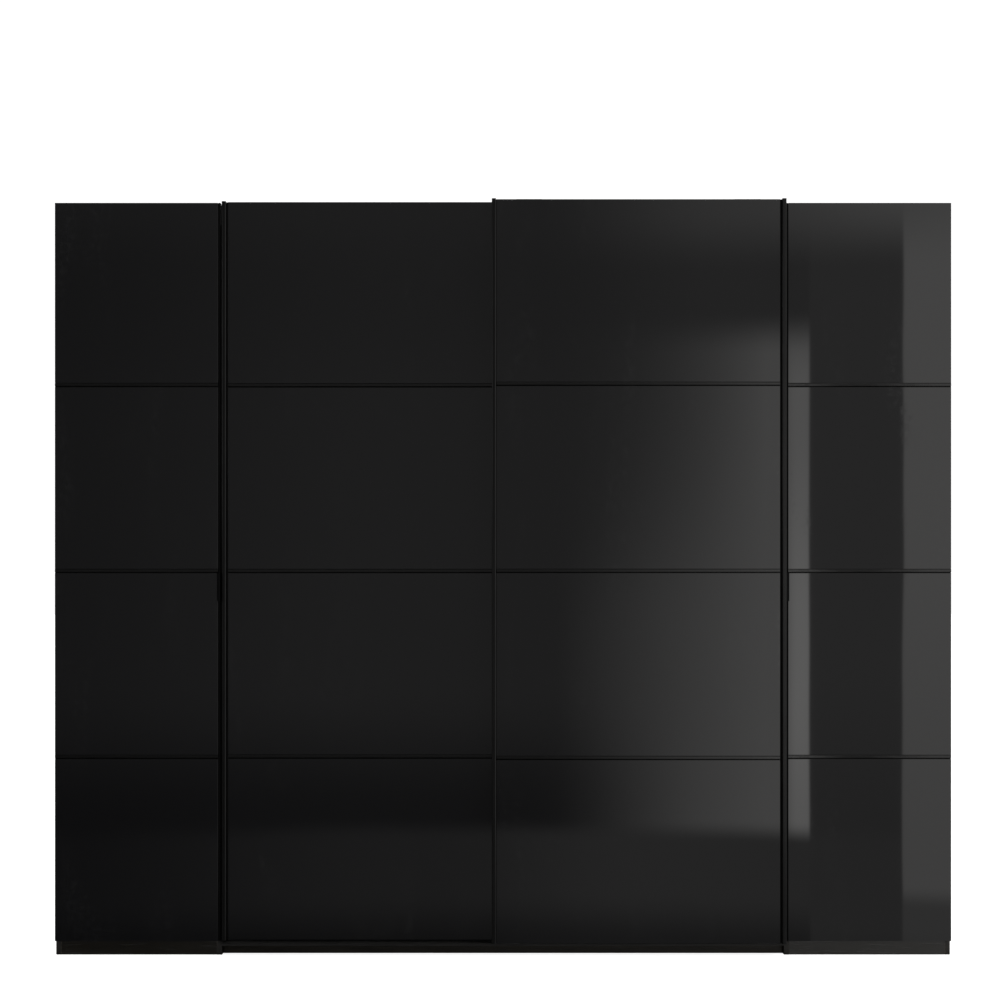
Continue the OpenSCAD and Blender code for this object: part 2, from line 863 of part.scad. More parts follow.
module hangers(back_y, shelf_z0, rib_y) {
    for (s = [-1, 1]) {
        hanger(s * hanger_x, back_y, shelf_z0, rib_y);
    }
}

module hanger_screws(back_y) {
    for (s = [-1, 1]) {
        for (t = [-1, 1]) {
            for (z = hanger_screw_z) {
                translate([s * hanger_x + t * hanger_screw_x, back_y + hanger_t + seat, z]) {
                    rotate([-90, 0, 0]) screw(14);
                }
            }
        }
    }
}

// Plastic shoes in the door's bottom slot, each with a tongue that runs in the track's groove
module guides(slot_y) {
    for (s = [-1, 1]) {
        block(s * guide_x - guide_l / 2, s * guide_x + guide_l / 2, slot_y - door_slot_w / 2,
            slot_y + door_slot_w / 2, glass_foot_z, glass_foot_z + door_slot_h);
        block(s * guide_x - guide_l / 2, s * guide_x + guide_l / 2, slot_y - guide_tongue_t / 2,
            slot_y + guide_tongue_t / 2, guide_top_z - guide_groove_d + 0.5, glass_foot_z + 1);
    }
}

// Grooved wheel turning about Y at x
module wheel(x, rib_y) {
    groove_half = rib_t / 2 + 0.5;
    groove_r = wheel_r - 0.3;
    translate([x, rib_y, axle_z]) rotate([-90, 0, 0]) rotate_extrude() polygon([
        [axle_r + fit, -wheel_w / 2], [wheel_rim_r, -wheel_w / 2], [wheel_rim_r, -groove_half - 1],
        [groove_r, -groove_half], [groove_r, groove_half], [wheel_rim_r, groove_half + 1],
        [wheel_rim_r, wheel_w / 2], [axle_r + fit, wheel_w / 2]
    ]);
}

module at_rear_door() {
    translate([-slide_mid_x, 0, 0]) children();
}

module at_front_door() {
    translate([slide_mid_x, 0, 0]) children();
}

module rear_door_panel() {
    color("#201d1b") at_rear_door() slide_panel(rear_back_y, glass_top_z);
}

module rear_door_glass() {
    color("#101012") at_rear_door() {
        panes(glass_left(-1), glass_right(-1), front_glass_y + door_step, glass_foot_z, glass_top_z);
    }
}

module rear_door_trims() {
    color("#0c0c0d") at_rear_door() trims(glass_left(-1), glass_right(-1), front_glass_y + door_step);
}

module rear_door_strips() {
    color("#1a1a1c") at_rear_door() strips(front_y + door_step, rear_back_y, slide_top_z);
}

module rear_door_hangers() {
    color("#8c8f93") at_rear_door() hangers(rear_back_y, rear_shelf_z, rear_rib_y);
}

module rear_door_screws() {
    color("#d2d4d8") at_rear_door() hanger_screws(rear_back_y);
}

module rear_door_guides() {
    color("#26262a") at_rear_door() guides(rear_guide_y);
}

module rear_wheel_left() {
    color("#e4e4e0") wheel(-slide_mid_x - hanger_x, rear_rib_y);
}

module rear_wheel_right() {
    color("#e4e4e0") wheel(-slide_mid_x + hanger_x, rear_rib_y);
}

module front_door_panel() {
    color("#201d1b") at_front_door() slide_panel(front_back_y, glass_top_z);
}

module front_door_glass() {
    color("#101012") at_front_door() {
        panes(glass_left(1), glass_right(1), front_glass_y, glass_foot_z, glass_top_z);
    }
}

module front_door_trims() {
    color("#0c0c0d") at_front_door() trims(glass_left(1), glass_right(1), front_glass_y);
}

module front_door_strips() {
    color("#1a1a1c") at_front_door() strips(front_y, front_back_y, slide_top_z);
}

module front_door_hangers() {
    color("#8c8f93") at_front_door() hangers(front_back_y, front_shelf_z, front_rib_y);
}

module front_door_screws() {
    color("#d2d4d8") at_front_door() hanger_screws(front_back_y);
}

module front_door_guides() {
    color("#26262a") at_front_door() guides(front_guide_y);
}

module front_wheel_left() {
    color("#e4e4e0") wheel(slide_mid_x - hanger_x, front_rib_y);
}

module front_wheel_right() {
    color("#e4e4e0") wheel(slide_mid_x + hanger_x, front_rib_y);
}

on_left() side_panel_right();  // side_panel_left
side_panel_right();
on_left() partition_right();  // partition_left
partition_right();
centre_partition();
side_top_panels();
centre_top_panel();
side_base_panels();
centre_base_panel();
back_panels();
closing_fin();
side_plinths();
centre_plinth();
plinth_bearers();
on_left() shelves_right();  // shelves_left
shelves_right();
hat_shelves();
clothes_rails();
rail_brackets();
shelf_pins();
cam_locks();
levelling_feet();
wall_brackets();
screws();
top_track();
track_stops();
bottom_track();
hinge_arms();
on_left() right_door_panel();  // left_door_panel
on_left() right_door_glass();  // left_door_glass
on_left() right_door_trims();  // left_door_trims
on_left() right_door_edge();  // left_door_edge
on_left() right_door_handle();  // left_door_handle
on_left() right_hinge_cups();  // left_hinge_cups
on_left() right_hinge_links();  // left_hinge_links
right_door_panel();
right_door_glass();
right_door_trims();
right_door_edge();
right_door_handle();
right_hinge_cups();
right_hinge_links();
rear_door_panel();
rear_door_glass();
rear_door_trims();
rear_door_strips();
rear_door_hangers();
rear_door_screws();
rear_door_guides();
rear_wheel_left();
rear_wheel_right();
front_door_panel();
front_door_glass();
front_door_trims();
front_door_strips();
front_door_hangers();
front_door_screws();
front_door_guides();
front_wheel_left();
front_wheel_right();
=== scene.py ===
import math
import random

import bmesh
import bpy
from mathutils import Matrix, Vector


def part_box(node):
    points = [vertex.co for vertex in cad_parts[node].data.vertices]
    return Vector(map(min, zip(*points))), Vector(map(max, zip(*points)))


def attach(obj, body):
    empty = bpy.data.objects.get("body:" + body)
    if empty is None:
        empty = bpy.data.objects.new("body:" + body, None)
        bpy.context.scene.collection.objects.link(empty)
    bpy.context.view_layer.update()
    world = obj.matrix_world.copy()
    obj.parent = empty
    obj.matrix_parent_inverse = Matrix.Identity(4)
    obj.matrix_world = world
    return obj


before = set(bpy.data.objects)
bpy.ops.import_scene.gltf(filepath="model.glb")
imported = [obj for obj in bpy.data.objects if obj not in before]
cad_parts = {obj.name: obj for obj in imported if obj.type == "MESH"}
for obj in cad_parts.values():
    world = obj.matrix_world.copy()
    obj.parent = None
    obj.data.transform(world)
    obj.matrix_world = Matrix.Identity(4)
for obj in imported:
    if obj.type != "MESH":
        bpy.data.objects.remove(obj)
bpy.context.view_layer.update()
scene = bpy.context.scene
scene.view_settings.view_transform = "Standard"

# ---------------------------------------------------------------- camera and studio

CAMERA = Vector((-0.0095, -5.278, 1.158))
LENS = 57.55

camera = bpy.data.objects.new("camera", bpy.data.cameras.new("camera"))
camera.location = CAMERA
camera.rotation_euler = (math.radians(90), 0, 0)
camera.data.sensor_width = 36
camera.data.lens = LENS
camera.data.shift_y = 0.085
scene.collection.objects.link(camera)
scene.camera = camera


class Tree:
    """Short calls that add nodes to a shader tree and link them."""

    def __init__(self, tree):
        self.tree = tree

    def put(self, socket, value):
        if isinstance(value, bpy.types.NodeSocket):
            self.tree.links.new(value, socket)
        else:
            socket.default_value = value

    def add(self, kind, inputs=None, **settings):
        node = self.tree.nodes.new("ShaderNode" + kind)
        for key, value in settings.items():
            setattr(node, key, value)
        for key, value in (inputs or {}).items():
            self.put(node.inputs[key], value)
        return node

    def math(self, operation, a, b=0.0, clamp=False):
        return self.add("Math", {0: a, 1: b}, operation=operation, use_clamp=clamp).outputs[0]

    def span(self, value, low, high, to_low=0.0, to_high=1.0, smooth=True):
        inputs = {"Value": value, "From Min": low, "From Max": high, "To Min": to_low, "To Max": to_high}
        kind = "SMOOTHSTEP" if smooth else "LINEAR"
        return self.add("MapRange", inputs, interpolation_type=kind).outputs["Result"]

    def blend(self, share, a, b, mode="MIX"):
        node = self.add("Mix", data_type="RGBA", blend_type=mode)
        self.put(node.inputs[0], share)
        self.put(node.inputs[6], a)
        self.put(node.inputs[7], b)
        return node.outputs[2]

    def stretch(self, vector, scale):
        return self.add("Mapping", {"Vector": vector, "Scale": scale}).outputs["Vector"]

    def noise(self, vector, scale, detail=3.0, rough=0.5, distortion=0.0):
        inputs = {"Vector": vector, "Scale": scale, "Detail": detail, "Roughness": rough}
        inputs["Distortion"] = distortion
        return self.add("TexNoise", inputs).outputs["Fac"]


def studio_world():
    """White all round for the eye and for matt surfaces; glossy surfaces see a dim plain room.

    turn and lift are the direction's angles in radians, from the camera's side of the wardrobe.
    """
    world = bpy.data.worlds.new("studio")
    scene.world = world
    world.use_nodes = True
    world.cycles.sampling_method = "NONE"
    t = Tree(world.node_tree)
    t.tree.nodes.clear()
    direction = t.add("SeparateXYZ", {0: t.add("TexCoord").outputs["Generated"]}).outputs
    turn = t.math("ARCTAN2", direction[0], t.math("MULTIPLY", direction[1], -1.0))
    lift = t.math("ARCSINE", direction[2])

    def total(*parts):
        result = parts[0]
        for part in parts[1:]:
            result = t.math("ADD", result, part)
        return result

    def between(share, a, b):
        return t.add("Mix", {0: share, 2: a, 3: b}, data_type="FLOAT").outputs[0]

    # the room's corner and, beyond it, the bright window wall
    corner = t.span(turn, 0.1905, 0.1918)
    window = t.span(turn, 0.2463, 0.2475)

    # pool of light that the window throws on the wall, brightest beside the corner
    reach = t.span(turn, 0.035, 0.165, smooth=False)
    pool = t.math("MULTIPLY", t.math("POWER", reach, t.span(lift, -0.03, 0.13, 1.15, 2.9)), 0.84)
    shine = total(t.span(lift, 0.11, -0.03, 0.0, 0.62), 0.58)
    shine = t.math("MULTIPLY", shine, t.span(lift, -0.07, -0.15, 1.0, 0.72))
    shine = t.math("MULTIPLY", shine, t.span(lift, 0.165, 0.118))
    shine = t.math("MULTIPLY", shine, t.span(turn, 0.172, 0.184))
    pool = t.math("MULTIPLY", total(pool, shine), t.span(lift, 0.168, 0.140))
    pool = total(pool, t.span(turn, 0.02, 0.15, 0.0, 0.12))

    # the wall itself, a soft glow far to the left, and the side wall between corner and window
    fall = between(t.span(turn, 0.0, 0.13), t.span(lift, -0.060, -0.142, 1.0, 0.40), 1.0)
    base = t.span(turn, -0.30, -0.06, 0.140, 0.262)
    base = t.math("MULTIPLY", base, t.span(lift, 0.10, 0.18, 1.0, 0.90))
    left_glow = t.span(turn, -0.80, -0.32, 0.30, 0.0)
    left_glow = t.math("MULTIPLY", left_glow, t.span(turn, -1.30, -0.90, 0.3, 1.0))
    wall = total(base, left_glow, pool)
    side = t.math("MULTIPLY", t.span(lift, -0.04, -0.15, 1.0, 0.80), 0.41)
    wall = between(corner, t.math("MULTIPLY", wall, fall), side)
    far = total(t.span(lift, -0.18, 0.06, 1.12, 1.34), t.span(turn, 0.30, 0.9, 0.0, 0.10))
    wall = between(window, wall, total(far, t.span(turn, 1.9, 2.9, 0.0, -0.90)))

    ceiling = total(t.span(turn, -0.30, -0.05, 0.165, 0.265), t.span(turn, 0.02, 0.16, 0.0, 0.42))
    ceiling = total(ceiling, t.span(turn, 0.14, 0.29, 0.0, 0.46), t.span(turn, 1.2, 2.9, 0.0, -0.45))
    ceiling = total(ceiling, t.span(turn, -1.3, -0.35, 0.30, 0.0))

    ground = total(t.span(turn, -0.28, -0.05, 0.075, 0.22), t.span(turn, -0.05, 0.10, 0.0, 0.17))
    ground = between(window, between(corner, ground, 0.36), 0.61)
    near = t.span(lift, -0.205, -0.222, 1.0, 0.86)
    near = between(corner, t.span(lift, -0.188, -0.222, 1.0, 0.44), near)
    ground = total(t.math("MULTIPLY", ground, near), t.span(turn, -1.3, -0.35, 0.20, 0.0))
    foot = total(lift, t.math("MULTIPLY", window, 0.036))

    room = between(t.span(lift, 0.190, 0.232), wall, ceiling)
    room = between(t.span(foot, -0.144, -0.158), room, ground)
    dim = t.add("Background", {"Color": (1.0, 0.99, 0.975, 1), "Strength": room})
    white = t.add("Background", {"Color": (1, 1, 1, 1), "Strength": 1.12})
    glossy = t.add("LightPath").outputs["Is Glossy Ray"]
    mixed = t.add("MixShader", {0: glossy, 1: white.outputs[0], 2: dim.outputs[0]})
    t.add("OutputWorld", {"Surface": mixed.outputs[0]})


def softbox(name, place, aim, size, power):
    """A rectangular studio lamp at a place, turned towards its aim."""
    light = bpy.data.lights.new(name, "AREA")
    light.shape = "RECTANGLE"
    light.size, light.size_y = size
    light.energy = power
    lamp = bpy.data.objects.new(name, light)
    lamp.location = place
    lamp.rotation_euler = (Vector(aim) - Vector(place)).to_track_quat("-Z", "Y").to_euler()
    scene.collection.objects.link(lamp)
    return lamp


studio_world()
softbox("key_right", (4.6, -3.2, 5.4), (0.4, 0, 1.1), (1.6, 2.4), 165)
softbox("fill_left", (-5.0, -4.6, 2.6), (-0.4, 0, 1.2), (2.0, 2.0), 35)

# ---------------------------------------------------------------- materials

X, Y, Z = 0, 1, 2


class Finish(Tree):
    """A procedural material whose patterns lie in the object's own space, in metres."""

    def __init__(self, name):
        self.material = bpy.data.materials.new(name)
        self.material.use_nodes = True
        super().__init__(self.material.node_tree)
        self.shader = self.tree.nodes["Principled BSDF"]
        self.coords = self.add("TexCoord").outputs["Object"]

    def set(self, **values):
        for key, value in values.items():
            self.put(self.shader.inputs[key.replace("_", " ").title().replace("Ior", "IOR")], value)
        return self

    def bump(self, height, distance, strength=1.0, below=None):
        node = self.add("Bump", {"Height": height, "Distance": distance, "Strength": strength})
        if below is not None:
            self.put(node.inputs["Normal"], below)
        self.put(self.shader.inputs["Normal"], node.outputs[0])
        return node.outputs[0]

    def facing(self, axis):
        """How squarely a face looks along an axis of the object: 1 towards plus, -1 towards minus."""
        return self.add("SeparateXYZ", {0: self.add("TexCoord").outputs["Normal"]}).outputs[axis]

    def openness(self, reach):
        """Share of the sky above a point that is free of surfaces nearer than reach metres."""
        return self.add("AmbientOcclusion", {"Distance": reach}, samples=8).outputs["AO"]

    def edges(self, radius=0.0025):
        """1 along sharp edges and corners, 0 on flat faces."""
        soft = self.add("Bevel", {"Radius": radius}, samples=4).outputs[0]
        flat = self.add("NewGeometry").outputs["Normal"]
        alike = self.add("VectorMath", {0: soft, 1: flat}, operation="DOT_PRODUCT").outputs["Value"]
        return self.span(alike, 0.985, 0.75)


def black_glass():
    """Toughened glass lacquered black on the back: deep gloss, a faint wave, and a little dulling dust."""
    f = Finish("black_glass")
    wave = f.noise(f.stretch(f.coords, (1.0, 1.0, 0.55)), 2.6, 1.0)
    dust = f.noise(f.coords, 55.0, 4.0, 0.62)
    wipe = f.noise(f.stretch(f.coords, (1.0, 1.0, 0.18)), 9.0, 3.0, 0.6, 0.7)
    haze = f.math("MULTIPLY", f.span(wipe, 0.52, 0.78), f.span(dust, 0.42, 0.70))
    f.set(
        base_color=f.blend(haze, (0.0012, 0.0012, 0.0014, 1), (0.0030, 0.0030, 0.0032, 1)),
        roughness=f.span(haze, 0.0, 1.0, 0.018, 0.075, smooth=False),
        ior=1.5,
    )
    f.bump(wave, 0.00022)
    return f.material


def brushed_black(name, along, gloss, rough, painted_shade_reach=0.0):
    """Black anodised aluminium, brushed along one axis, a trace paler where its edges are handled.

    The last argument is the reach in metres of painted shade in its own narrow gaps: there the gloss fades
    to nothing, so the gaps show black.
    """
    f = Finish(name)
    scale = [900.0, 900.0, 900.0]
    scale[along] = 7.0
    lines = f.noise(f.stretch(f.coords, scale), 1.0, 3.0, 0.7)
    cloud = f.noise(f.coords, 6.0, 2.0)
    worn = f.math("MULTIPLY", f.edges(0.0012), f.span(f.noise(f.coords, 40.0, 4.0, 0.65), 0.40, 0.66))
    tone = f.blend(f.span(lines, 0.35, 0.65), (0.0003, 0.0003, 0.0003, 1), (0.0013, 0.0013, 0.0013, 1))
    # painted shade: gloss is taken away where nearby surfaces close in, so narrow gaps read as dark shadow
    # lines
    if painted_shade_reach:
        gloss = f.span(f.openness(painted_shade_reach), 0.60, 0.90, 0.0, gloss)
    sheen = f.span(lines, 0.3, 0.7, rough, 1.4 * rough + 0.02)
    f.set(
        base_color=f.blend(worn, tone, (0.0060, 0.0059, 0.0057, 1)),
        specular_ior_level=gloss,
        roughness=f.math("ADD", sheen, f.span(cloud, 0.3, 0.7, -0.01, 0.02)),
        anisotropic=0.3,
    )
    f.bump(lines, 0.00003)
    return f.material


def powder_black():
    """Satin black powder coat with its fine orange peel."""
    f = Finish("powder_black")
    peel = f.noise(f.coords, 900.0, 2.0, 0.5)
    worn = f.math("MULTIPLY", f.edges(0.0010), f.span(f.noise(f.coords, 160.0, 3.0), 0.45, 0.62))
    f.set(
        base_color=f.blend(worn, (0.0010, 0.0010, 0.0011, 1), (0.0120, 0.0116, 0.0110, 1)),
        specular_ior_level=0.06,
        roughness=f.span(peel, 0.3, 0.7, 0.26, 0.38),
    )
    f.bump(peel, 0.00006)
    return f.material


def wood_layers(f, along):
    """Colour, pores and figure of a black-brown wood decor that runs along one axis."""
    slow, fine = [7.0, 7.0, 7.0], [260.0, 260.0, 260.0]
    slow[along], fine[along] = 0.55, 9.0
    figure = f.noise(f.stretch(f.coords, slow), 1.6, 6.0, 0.62, 1.4)
    pores = f.span(f.noise(f.stretch(f.coords, fine), 1.0, 2.0, 0.55), 0.56, 0.72)
    streak = f.noise(f.stretch(f.coords, [v * 3.2 for v in slow]), 2.4, 3.0, 0.6, 0.4)
    tone = f.blend(f.span(figure, 0.30, 0.70), (0.0036, 0.0033, 0.0027, 1), (0.0105, 0.0092, 0.0074, 1))
    tone = f.blend(f.span(streak, 0.42, 0.70, 0.0, 0.55), tone, (0.0150, 0.0128, 0.0102, 1))
    return f.blend(pores, tone, (0.0018, 0.0016, 0.0013, 1)), pores, figure


def rubbing(f):
    """Where the edging of a board is rubbed pale, in patches."""
    patches = f.noise(f.coords, 60.0, 4.0, 0.6)
    return f.math("MULTIPLY", f.edges(0.0012), f.span(patches, 0.45, 0.70, 0.10, 0.6))


def pored_roughness(f, rough, pores, figure):
    """Roughness of a wood decor: it follows the figure, and the pores are duller."""
    return f.math("ADD", f.span(figure, 0.3, 0.7, rough, rough + 0.08), f.math("MULTIPLY", pores, 0.14))


def wood_decor(name, along, depth=1.0, gloss=0.3, rough=0.36):
    """Black-brown wood decor: long soft figure, short dark pores, a trace of rubbing on the edging; depth
    below 1 darkens all of it, painted shade.
    """
    f = Finish(name)
    tone, pores, figure = wood_layers(f, along)
    # painted shade: depth below 1 pulls the decor towards a near-black brown, giving darker copies of one
    # decor for boards in shade
    tone = f.blend(1.0 - depth, tone, (0.0016, 0.0011, 0.0002, 1))
    f.set(
        base_color=f.blend(rubbing(f), tone, [0.0260 * depth, 0.0225 * depth, 0.0185 * depth, 1]),
        specular_ior_level=gloss,
        roughness=pored_roughness(f, rough, pores, figure),
    )
    f.bump(pores, 0.00012, 0.8, f.bump(figure, 0.0001, 0.4))
    return f.material


def door_board():
    """Door boards: black film behind the glass and on the edges, wood decor on the inside of the door."""
    f = Finish("door_board")
    tone, pores, figure = wood_layers(f, Z)
    inside = f.span(f.facing(Y), 0.4, 0.6)
    film = f.noise(f.coords, 500.0, 2.0)
    black = f.blend(f.span(film, 0.3, 0.7), (0.0003, 0.0003, 0.0003, 1), (0.0010, 0.0010, 0.0010, 1))
    f.set(
        base_color=f.blend(inside, black, tone),
        specular_ior_level=0.12,
        roughness=f.math("ADD", f.span(figure, 0.3, 0.7, 0.38, 0.46), f.math("MULTIPLY", pores, 0.12)),
    )
    f.bump(f.math("MULTIPLY", pores, inside), 0.00012, 0.8)
    return f.material


def linen_layers(f):
    """Colour and weave of a pale decor that is printed and embossed like coarse linen."""
    warp = f.noise(f.stretch(f.coords, (950.0, 950.0, 26.0)), 1.0, 2.0, 0.6)
    weft = f.noise(f.stretch(f.coords, (26.0, 950.0, 950.0)), 1.0, 2.0, 0.6)
    depth = f.noise(f.stretch(f.coords, (700.0, 34.0, 700.0)), 1.0, 2.0, 0.6)
    cloth = f.math("ADD", f.math("MULTIPLY", weft, 0.35), f.math("MULTIPLY", depth, 0.25))
    cloth = f.math("ADD", f.math("MULTIPLY", warp, 0.4), cloth)
    patches = f.noise(f.coords, 3.5, 3.0)
    tone = f.blend(f.span(cloth, 0.40, 0.60), (0.335, 0.285, 0.222, 1), (0.505, 0.445, 0.360, 1))
    return f.blend(f.span(patches, 0.35, 0.65, 0.0, 0.22), tone, (0.400, 0.345, 0.270, 1)), cloth


def linen_decor():
    """Boards in the matt linen decor all round, rubbed a little darker on their edges."""
    f = Finish("linen_decor")
    tone, cloth = linen_layers(f)
    f.set(
        base_color=f.blend(f.math("MULTIPLY", f.edges(0.0014), 0.5), tone, (0.330, 0.285, 0.225, 1)),
        roughness=f.span(cloth, 0.35, 0.65, 0.62, 0.50),
    )
    f.bump(cloth, 0.0001)
    return f.material


def carcass_board(name, along, axis, side):
    """Wood decor outside and on the edges, linen decor on the face that looks along axis times side; the
    wood carries painted shade in inside corners.
    """
    f = Finish(name)
    wood, pores, figure = wood_layers(f, along)
    linen, cloth = linen_layers(f)
    inside = f.span(f.math("MULTIPLY", f.facing(axis), side), 0.60, 0.80)
    outer_rough = pored_roughness(f, 0.36, pores, figure)
    wood = f.blend(rubbing(f), wood, (0.0260, 0.0225, 0.0185, 1))
    # painted shade: where other surfaces come within 5 cm the wood darkens to near black and loses its
    # gloss
    corner = f.span(f.openness(0.05), 0.62, 0.38)
    wood = f.blend(corner, wood, (0.0006, 0.0005, 0.0004, 1))
    gloss = f.span(corner, 0.0, 1.0, 0.3, 0.04)
    f.set(
        base_color=f.blend(inside, wood, linen),
        specular_ior_level=f.math("ADD", gloss, f.math("MULTIPLY", inside, 0.2)),
        roughness=f.blend(inside, outer_rough, f.span(cloth, 0.35, 0.65, 0.62, 0.50)),
    )
    f.bump(f.blend(inside, pores, cloth), 0.0001, 0.8)
    return f.material


def fibreboard():
    """Thin back panels: pale printed foil inside, raw brown hardboard with its screen mesh at the back."""
    f = Finish("fibreboard")
    raw = f.span(f.facing(Y), 0.4, 0.6)
    fibre = f.noise(f.stretch(f.coords, (160.0, 160.0, 90.0)), 1.0, 6.0, 0.72)
    flecks = f.noise(f.stretch(f.coords, (420.0, 420.0, 150.0)), 1.0, 3.0, 0.6, 0.6)
    clouds = f.noise(f.coords, 2.6, 4.0, 0.6)
    brown = f.blend(f.span(fibre, 0.34, 0.66), (0.105, 0.058, 0.030, 1), (0.225, 0.135, 0.075, 1))
    brown = f.blend(f.span(flecks, 0.60, 0.75), brown, (0.045, 0.024, 0.013, 1))
    brown = f.blend(f.span(clouds, 0.3, 0.7, 0.0, 0.35), brown, (0.150, 0.092, 0.052, 1))
    foil = f.blend(f.span(fibre, 0.35, 0.65), (0.430, 0.375, 0.300, 1), (0.500, 0.445, 0.365, 1))
    screen = f.add("TexVoronoi", {"Vector": f.coords, "Scale": 420.0, "Randomness": 0.12})
    mesh = screen.outputs["Distance"]
    f.set(
        base_color=f.blend(raw, foil, brown),
        roughness=f.span(raw, 0.0, 1.0, 0.50, 0.82),
    )
    f.bump(f.blend(raw, fibre, f.math("ADD", f.math("MULTIPLY", mesh, 0.7), fibre)), 0.00012)
    return f.material


def extruded(name, deep, pale, polished, metal, dust):
    """Anodised track: drawn lines along X, polished where it is rubbed, paler on its upper faces."""
    f = Finish(name)
    lines = f.noise(f.stretch(f.coords, (5.0, 1100.0, 1100.0)), 1.0, 3.0, 0.7)
    scuffs = f.noise(f.stretch(f.coords, (9.0, 80.0, 80.0)), 1.0, 4.0, 0.7)
    worn = f.math("MULTIPLY", f.edges(0.0015), f.span(scuffs, 0.40, 0.65))
    tone = f.blend(f.span(lines, 0.35, 0.65), deep, pale)
    # upper faces paler: the last colour is blended in on faces that look up
    upward_share = f.math("MULTIPLY", f.span(f.facing(Z), 0.6, 0.9), f.span(scuffs, 0.2, 0.6, 0.75, 1.0))
    f.set(
        base_color=f.blend(upward_share, f.blend(worn, tone, polished), dust),
        metallic=metal,
        specular_ior_level=0.3,
        roughness=f.span(lines, 0.3, 0.7, 0.28, 0.42),
    )
    f.bump(lines, 0.00003)
    return f.material


def zinc_steel():
    """Zinc plated pressings and screws, softly mottled, with a trace of yellow."""
    f = Finish("zinc_steel")
    spangle = f.add("TexVoronoi", {"Vector": f.coords, "Scale": 260.0, "Randomness": 1.0})
    crystal = f.add("SeparateXYZ", {0: spangle.outputs["Color"]}).outputs["X"]
    haze = f.noise(f.coords, 70.0, 4.0, 0.6)
    tone = f.blend(f.span(haze, 0.3, 0.7), (0.46, 0.47, 0.49, 1), (0.60, 0.60, 0.58, 1))
    f.set(
        base_color=f.blend(f.span(crystal, 0.0, 1.0, 0.0, 0.25), tone, (0.50, 0.47, 0.40, 1)),
        metallic=1.0,
        roughness=f.math("ADD", f.span(haze, 0.3, 0.7, 0.24, 0.36), f.math("MULTIPLY", crystal, 0.06)),
    )
    f.bump(haze, 0.00004)
    return f.material


def bright_chrome():
    """Chrome plated tube with fine rub marks round it from the hangers."""
    f = Finish("bright_chrome")
    rubs = f.noise(f.stretch(f.coords, (600.0, 12.0, 12.0)), 1.0, 3.0, 0.65)
    mist = f.noise(f.coords, 24.0, 3.0)
    f.set(
        base_color=f.blend(f.span(mist, 0.3, 0.7), (0.74, 0.75, 0.77, 1), (0.82, 0.82, 0.83, 1)),
        metallic=1.0,
        roughness=f.math("ADD", f.span(rubs, 0.45, 0.75, 0.05, 0.17), f.span(mist, 0.3, 0.7, 0.0, 0.03)),
    )
    f.bump(rubs, 0.00001)
    return f.material


def moulded(name, pale, deep, grain, rough, soft=0.0):
    """Moulded plastic or rubber with a fine eroded skin and faint flow clouds."""
    f = Finish(name)
    skin = f.noise(f.coords, grain, 2.0, 0.6)
    flow = f.noise(f.stretch(f.coords, (1.0, 1.0, 0.4)), 30.0, 3.0, 0.6, 0.8)
    tone = f.blend(f.span(flow, 0.3, 0.7), deep, pale)
    rubbed = [min(1.0, 1.35 * v) for v in pale[:3]] + [1]
    f.set(
        base_color=f.blend(f.math("MULTIPLY", f.edges(0.001), 0.35), tone, rubbed),
        roughness=f.span(skin, 0.3, 0.7, rough - 0.05, rough + 0.06),
        subsurface_weight=soft,
    )
    f.shader.inputs["Subsurface Scale"].default_value = 0.004
    f.bump(skin, 0.00005)
    return f.material


def studio_floor():
    """Plain pale floor, lit up a little of its own so that it meets the background without an edge."""
    f = Finish("studio_floor")
    grain = f.noise(f.coords, 240.0, 2.0)
    f.set(
        base_color=f.blend(f.span(grain, 0.3, 0.7), (0.925, 0.925, 0.925, 1), (0.935, 0.935, 0.935, 1)),
        roughness=0.9,
        specular_ior_level=0.1,
        emission_color=(1, 1, 1, 1),
        emission_strength=0.8,
    )
    return f.material


GLASS = black_glass()
BRUSHED_Z = brushed_black("brushed_black_upright", Z, 0.24, 0.12)
EDGE_Z = brushed_black("brushed_black_edge", Z, 0.03, 0.30)
# the level trims carry painted shade in the narrow gaps beside them
TRIM_X = brushed_black("brushed_black_level", X, 0.38, 0.02, 0.006)
POWDER = powder_black()
LEFT_WALL = carcass_board("carcass_left_wall", Z, X, 1)
RIGHT_WALL = carcass_board("carcass_right_wall", Z, X, -1)
TOP = carcass_board("carcass_top", X, Z, -1)
WOOD_X = wood_decor("wood_decor_level", X)
# painted shade: both plinths are darker copies of the one wood decor, the side plinths darkest
PLINTH_PAINTED_SHADE = wood_decor("wood_decor_plinth_painted_shade", X, 0.10, 0.55, 0.15)
KICKBOARD_PAINTED_SHADE = wood_decor("wood_decor_kickboard_painted_shade", X, 0.50, 0.20, 0.15)
DOOR = door_board()
LINEN = linen_decor()
BACKS = fibreboard()
# colours (deep, pale, polished) and metal share of the two tracks
GREY = ((0.045, 0.045, 0.047, 1), (0.085, 0.085, 0.088, 1), (0.30, 0.30, 0.31, 1), 0.6)
BLACK = ((0.0030, 0.0029, 0.0027, 1), (0.0050, 0.0049, 0.0046, 1), (0.020, 0.0195, 0.0187, 1), 0.3)
# the last colour of each track is the paler tone of its upper faces
TRACK = extruded("extruded_grey", *GREY, (0.075, 0.074, 0.072, 1))
LOW_TRACK = extruded("extruded_black", *BLACK, (0.014, 0.0137, 0.0130, 1))
STEEL = zinc_steel()
CHROME = bright_chrome()
NYLON = moulded("nylon_white", (0.74, 0.74, 0.71, 1), (0.66, 0.66, 0.63, 1), 700.0, 0.42, 0.15)
PLASTIC = moulded("plastic_black", (0.020, 0.020, 0.021, 1), (0.014, 0.014, 0.015, 1), 1100.0, 0.48)
RUBBER = moulded("rubber_black", (0.017, 0.017, 0.018, 1), (0.011, 0.011, 0.011, 1), 1500.0, 0.72)

